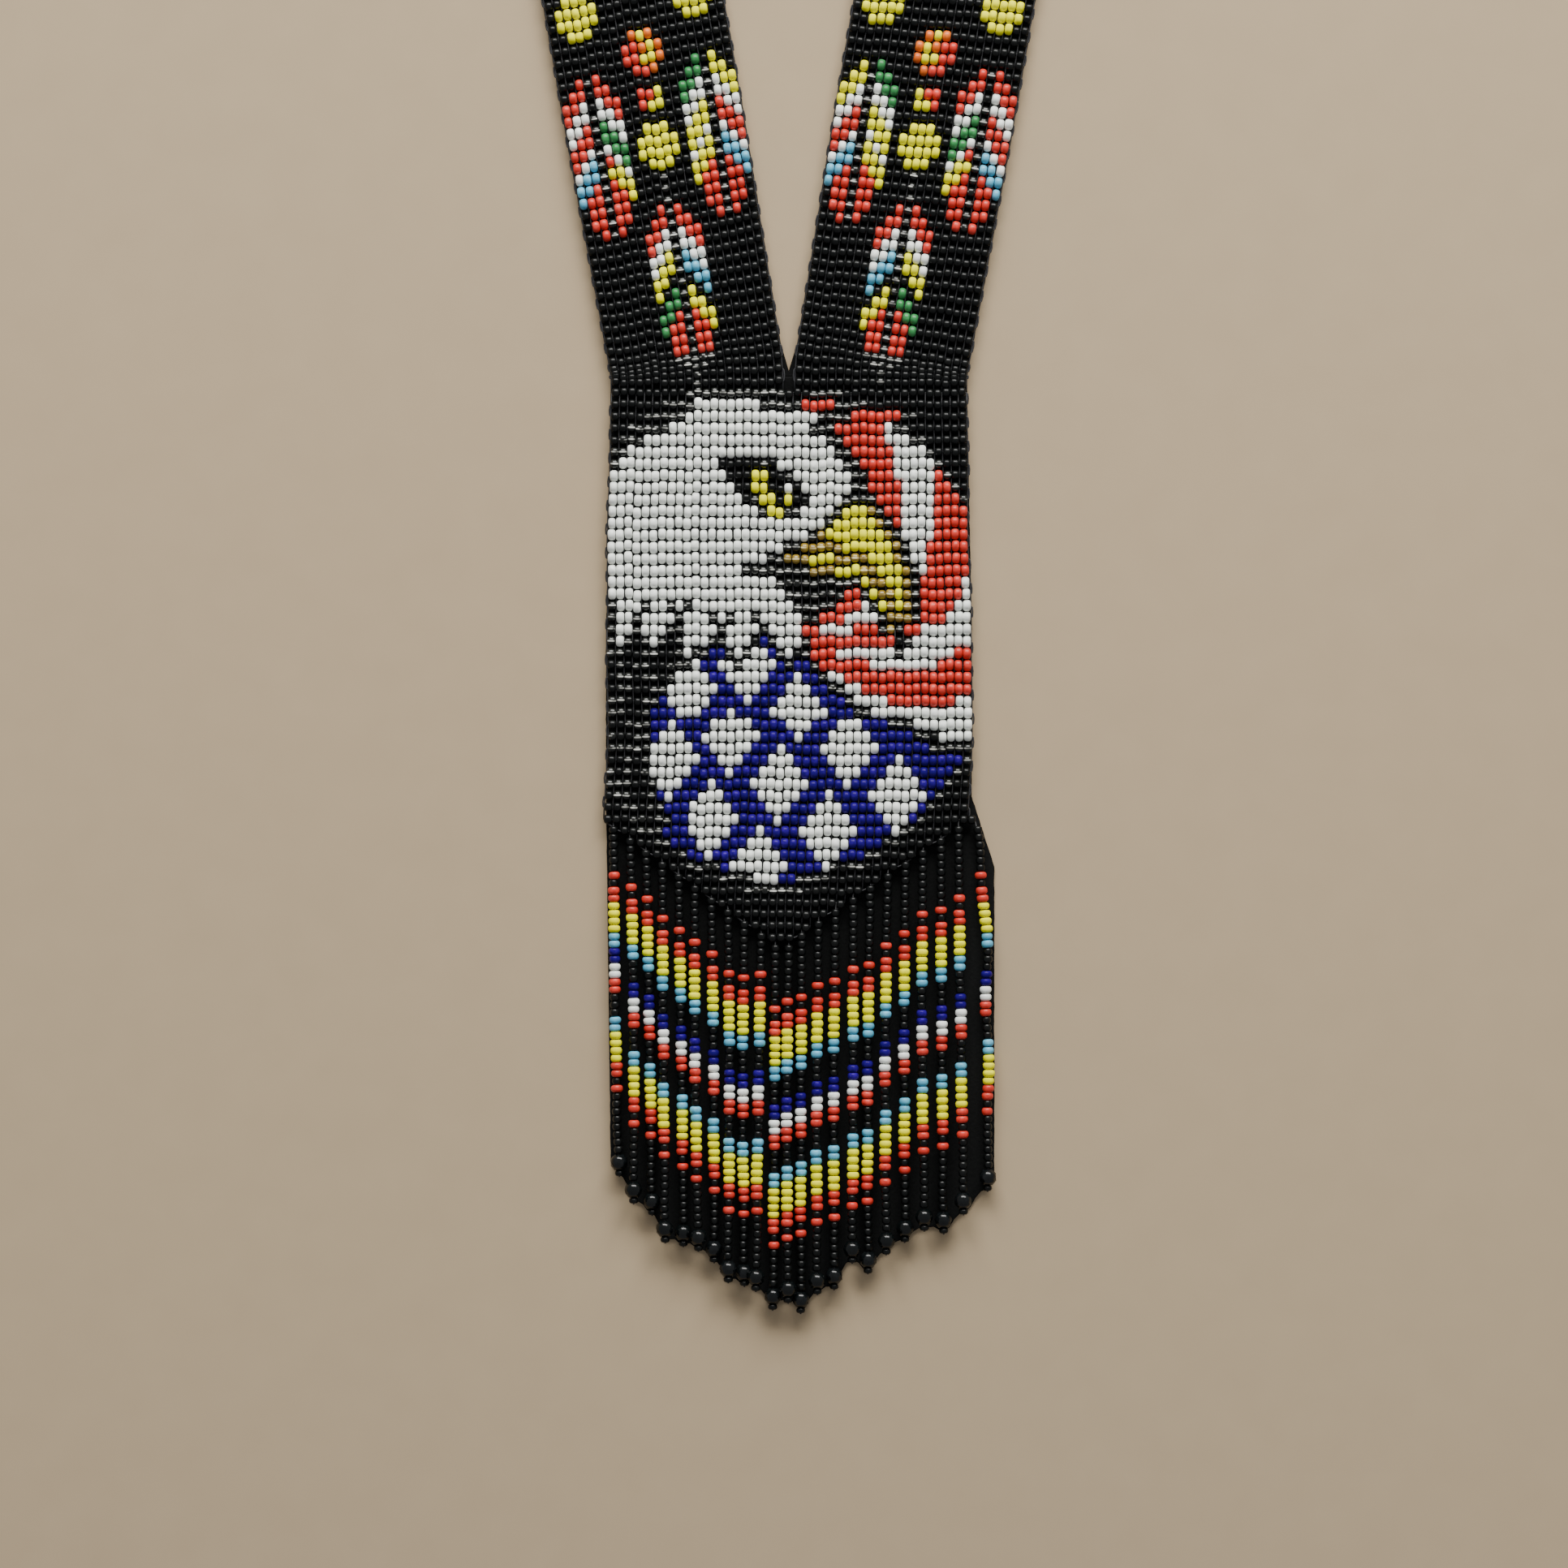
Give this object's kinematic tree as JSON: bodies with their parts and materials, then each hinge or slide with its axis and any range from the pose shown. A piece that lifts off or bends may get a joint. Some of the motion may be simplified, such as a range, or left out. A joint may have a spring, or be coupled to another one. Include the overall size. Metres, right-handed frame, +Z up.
{
  "type": "beaded necklace",
  "caption": "Loom-woven seed-bead necklace with an eagle-head panel, straps that part at a V and meet at the nape, and a fringe of bead strands.",
  "frame": {"origin": "centre of the necklace's bounding box on the table under it", "axes": "+Y from the fringe towards the nape, +X to the right of the bead picture seen from above, +Z up out of the bead face"},
  "size_m": [0.0974, 0.4408, 0.0317],
  "materials": {
    "bead_white": "opaque glossy glass",
    "bead_black": "opaque glossy jet glass",
    "bead_smoky": "smoky glass with a silvered hole",
    "bead_gold": "clear amber glass with a silvered hole",
    "bead_red": "opaque glossy glass",
    "bead_yellow": "opaque glossy glass",
    "bead_cobalt": "translucent glossy cobalt glass",
    "bead_light_blue": "opaque glossy glass",
    "bead_green": "opaque glossy glass",
    "bead_orange": "opaque glossy glass",
    "end_bead": "fire-polished black faceted glass",
    "thread": "waxed black nylon beading thread",
    "lining": "thin black felt"
  },
  "bodies": {
    "upper_panel": {"upper_panel": "bead_white", "upper_lining": "lining"},
    "lower_panel": {"lower_panel": "bead_cobalt", "lower_lining": "lining"},
    "neck_front": {"left_strap_front": "bead_black", "right_strap_front": "bead_black", "neck_front_lining": "lining"},
    "neck_rear": {"left_strap_rear": "bead_black", "right_strap_rear": "bead_black", "rear_lining": "lining", "nape_seam": "thread"},
    "strand_01": {"fringe_strand_01": "bead_black", "end_bead_01": "end_bead"},
    "strand_02": {"fringe_strand_02": "bead_black", "end_bead_02": "end_bead"},
    "strand_03": {"fringe_strand_03": "bead_black", "end_bead_03": "end_bead"},
    "strand_04": {"fringe_strand_04": "bead_black", "end_bead_04": "end_bead"},
    "strand_05": {"fringe_strand_05": "bead_black", "end_bead_05": "end_bead"},
    "strand_06": {"fringe_strand_06": "bead_black", "end_bead_06": "end_bead"},
    "strand_07": {"fringe_strand_07": "bead_black", "end_bead_07": "end_bead"},
    "strand_08": {"fringe_strand_08": "bead_black", "end_bead_08": "end_bead"},
    "strand_09": {"fringe_strand_09": "bead_black", "end_bead_09": "end_bead"},
    "strand_10": {"fringe_strand_10": "bead_black", "end_bead_10": "end_bead"},
    "strand_11": {"fringe_strand_11": "bead_black", "end_bead_11": "end_bead"},
    "strand_12": {"fringe_strand_12": "bead_black", "end_bead_12": "end_bead"},
    "strand_13": {"fringe_strand_13": "bead_black", "end_bead_13": "end_bead"},
    "strand_14": {"fringe_strand_14": "bead_black", "end_bead_14": "end_bead"},
    "strand_15": {"fringe_strand_15": "bead_black", "end_bead_15": "end_bead"},
    "strand_16": {"fringe_strand_16": "bead_black", "end_bead_16": "end_bead"},
    "strand_17": {"fringe_strand_17": "bead_black", "end_bead_17": "end_bead"},
    "strand_18": {"fringe_strand_18": "bead_black", "end_bead_18": "end_bead"},
    "strand_19": {"fringe_strand_19": "bead_black", "end_bead_19": "end_bead"},
    "strand_20": {"fringe_strand_20": "bead_black", "end_bead_20": "end_bead"},
    "strand_21": {"fringe_strand_21": "bead_black", "end_bead_21": "end_bead"},
    "strand_22": {"fringe_strand_22": "bead_black", "end_bead_22": "end_bead"},
    "strand_23": {"fringe_strand_23": "bead_black", "end_bead_23": "end_bead"}
  },
  "joints": [
    {"name": "panel_fold", "type": "hinge", "parent": "upper_panel", "child": "lower_panel", "pos_m": [0, -0.09897, 0.00185], "axis": [-1, 0, 0], "range_deg": [0, 60]},
    {"name": "neck_fold", "type": "hinge", "parent": "upper_panel", "child": "neck_front", "pos_m": [0, -0.05725, 0.00185], "axis": [1, 0, 0], "range_deg": [0, 90]},
    {"name": "rear_loop_fold", "type": "hinge", "parent": "neck_front", "child": "neck_rear", "pos_m": [0, 0.08863, 0.00185], "axis": [1, 0, 0], "range_deg": [0, 90]},
    {"name": "strand_01_swing", "type": "hinge", "parent": "lower_panel", "child": "strand_01", "pos_m": [-0.03088, -0.13234, 0.00185], "axis": [-1, 0, 0], "range_deg": [0, 75]},
    {"name": "strand_02_swing", "type": "hinge", "parent": "lower_panel", "child": "strand_02", "pos_m": [-0.02802, -0.13443, 0.00185], "axis": [-1, 0, 0], "range_deg": [0, 75]},
    {"name": "strand_03_swing", "type": "hinge", "parent": "lower_panel", "child": "strand_03", "pos_m": [-0.02517, -0.13652, 0.00185], "axis": [-1, 0, 0], "range_deg": [0, 75]},
    {"name": "strand_04_swing", "type": "hinge", "parent": "lower_panel", "child": "strand_04", "pos_m": [-0.0223, -0.1386, 0.00185], "axis": [-1, 0, 0], "range_deg": [0, 75]},
    {"name": "strand_05_swing", "type": "hinge", "parent": "lower_panel", "child": "strand_05", "pos_m": [-0.01943, -0.14069, 0.00185], "axis": [-1, 0, 0], "range_deg": [0, 75]},
    {"name": "strand_06_swing", "type": "hinge", "parent": "lower_panel", "child": "strand_06", "pos_m": [-0.01655, -0.14277, 0.00185], "axis": [-1, 0, 0], "range_deg": [0, 75]},
    {"name": "strand_07_swing", "type": "hinge", "parent": "lower_panel", "child": "strand_07", "pos_m": [-0.01366, -0.14486, 0.00185], "axis": [-1, 0, 0], "range_deg": [0, 75]},
    {"name": "strand_08_swing", "type": "hinge", "parent": "lower_panel", "child": "strand_08", "pos_m": [-0.01074, -0.14695, 0.00185], "axis": [-1, 0, 0], "range_deg": [0, 75]},
    {"name": "strand_09_swing", "type": "hinge", "parent": "lower_panel", "child": "strand_09", "pos_m": [-0.0078, -0.14903, 0.00185], "axis": [-1, 0, 0], "range_deg": [0, 75]},
    {"name": "strand_10_swing", "type": "hinge", "parent": "lower_panel", "child": "strand_10", "pos_m": [-0.00483, -0.15112, 0.00185], "axis": [-1, 0, 0], "range_deg": [0, 75]},
    {"name": "strand_11_swing", "type": "hinge", "parent": "lower_panel", "child": "strand_11", "pos_m": [-0.0024, -0.1532, 0.00185], "axis": [-1, 0, 0], "range_deg": [0, 75]},
    {"name": "strand_12_swing", "type": "hinge", "parent": "lower_panel", "child": "strand_12", "pos_m": [0, -0.1532, 0.00185], "axis": [-1, 0, 0], "range_deg": [0, 75]},
    {"name": "strand_13_swing", "type": "hinge", "parent": "lower_panel", "child": "strand_13", "pos_m": [0.00224, -0.15112, 0.00185], "axis": [-1, 0, 0], "range_deg": [0, 75]},
    {"name": "strand_14_swing", "type": "hinge", "parent": "lower_panel", "child": "strand_14", "pos_m": [0.00523, -0.14903, 0.00185], "axis": [-1, 0, 0], "range_deg": [0, 75]},
    {"name": "strand_15_swing", "type": "hinge", "parent": "lower_panel", "child": "strand_15", "pos_m": [0.00825, -0.14695, 0.00185], "axis": [-1, 0, 0], "range_deg": [0, 75]},
    {"name": "strand_16_swing", "type": "hinge", "parent": "lower_panel", "child": "strand_16", "pos_m": [0.01129, -0.14486, 0.00185], "axis": [-1, 0, 0], "range_deg": [0, 75]},
    {"name": "strand_17_swing", "type": "hinge", "parent": "lower_panel", "child": "strand_17", "pos_m": [0.01436, -0.14277, 0.00185], "axis": [-1, 0, 0], "range_deg": [0, 75]},
    {"name": "strand_18_swing", "type": "hinge", "parent": "lower_panel", "child": "strand_18", "pos_m": [0.01744, -0.14069, 0.00185], "axis": [-1, 0, 0], "range_deg": [0, 75]},
    {"name": "strand_19_swing", "type": "hinge", "parent": "lower_panel", "child": "strand_19", "pos_m": [0.02053, -0.1386, 0.00185], "axis": [-1, 0, 0], "range_deg": [0, 75]},
    {"name": "strand_20_swing", "type": "hinge", "parent": "lower_panel", "child": "strand_20", "pos_m": [0.02362, -0.13652, 0.00185], "axis": [-1, 0, 0], "range_deg": [0, 75]},
    {"name": "strand_21_swing", "type": "hinge", "parent": "lower_panel", "child": "strand_21", "pos_m": [0.02672, -0.13443, 0.00185], "axis": [-1, 0, 0], "range_deg": [0, 75]},
    {"name": "strand_22_swing", "type": "hinge", "parent": "lower_panel", "child": "strand_22", "pos_m": [0.02983, -0.13234, 0.00185], "axis": [-1, 0, 0], "range_deg": [0, 75]},
    {"name": "strand_23_swing", "type": "hinge", "parent": "lower_panel", "child": "strand_23", "pos_m": [0.03266, -0.13234, 0.00185], "axis": [-1, 0, 0], "range_deg": [0, 75]}
  ]
}
